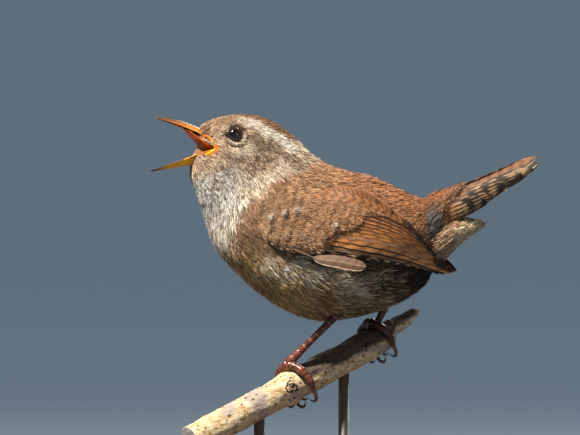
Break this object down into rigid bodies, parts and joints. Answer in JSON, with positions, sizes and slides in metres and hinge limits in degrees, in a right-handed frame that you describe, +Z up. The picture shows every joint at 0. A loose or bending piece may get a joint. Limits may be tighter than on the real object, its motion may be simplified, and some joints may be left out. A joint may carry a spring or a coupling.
{
  "type": "wren",
  "caption": "Life-size model of a small round wren singing with its bill wide open and tail cocked, gripping a slanting cut branch that two thin rods hold over a flat display base",
  "frame": {"origin": "middle of the underside of the stand's base", "axes": "x runs from the bird's front to its tail, y from its left side to its right, z upwards"},
  "size_m": [0.0989, 0.062, 0.0827],
  "materials": {
    "plumage": "soft layered feathers, warm brown above, cream and buff below, barred on wings, tail and flanks",
    "bill": "smooth horn, orange with a dark ridge and tip",
    "mouth": "moist orange skin with a yellow corner",
    "eye": "wet glossy black-brown",
    "leg": "smooth scaled skin, reddish brown",
    "claw": "smooth horn, brown",
    "bark": "rough weathered bark with pale and dark flecks",
    "stand": "dark stained wood, satin varnish",
    "rod": "plain dull steel wire"
  },
  "bodies": {
    "root": {"eye_left": "eye", "eye_right": "eye", "head": "plumage", "bill_upper": "bill", "bill_lower": "bill", "mouth_lining": "mouth", "wing_left_coverts": "plumage", "wing_left_secondaries": "plumage", "wing_left_primaries": "plumage", "wing_right_coverts": "plumage", "wing_right_secondaries": "plumage", "wing_right_primaries": "plumage", "tail_centre": "plumage", "tail_left": "plumage", "tail_right": "plumage", "undertail_coverts": "plumage", "tail_root_coverts": "plumage", "claw_left_hind": "claw", "claw_left_inner": "claw", "claw_left_middle": "claw", "claw_left_outer": "claw", "tarsus_left": "leg", "foot_left": "leg", "thigh_left": "plumage", "claw_right_hind": "claw", "claw_right_inner": "claw", "claw_right_middle": "claw", "claw_right_outer": "claw", "tarsus_right": "leg", "foot_right": "leg", "thigh_right": "plumage", "neck": "plumage", "trunk": "plumage", "perch_branch": "bark", "stand_base": "stand", "stand_rod_1": "rod", "stand_rod_2": "rod"}
  },
  "joints": []
}
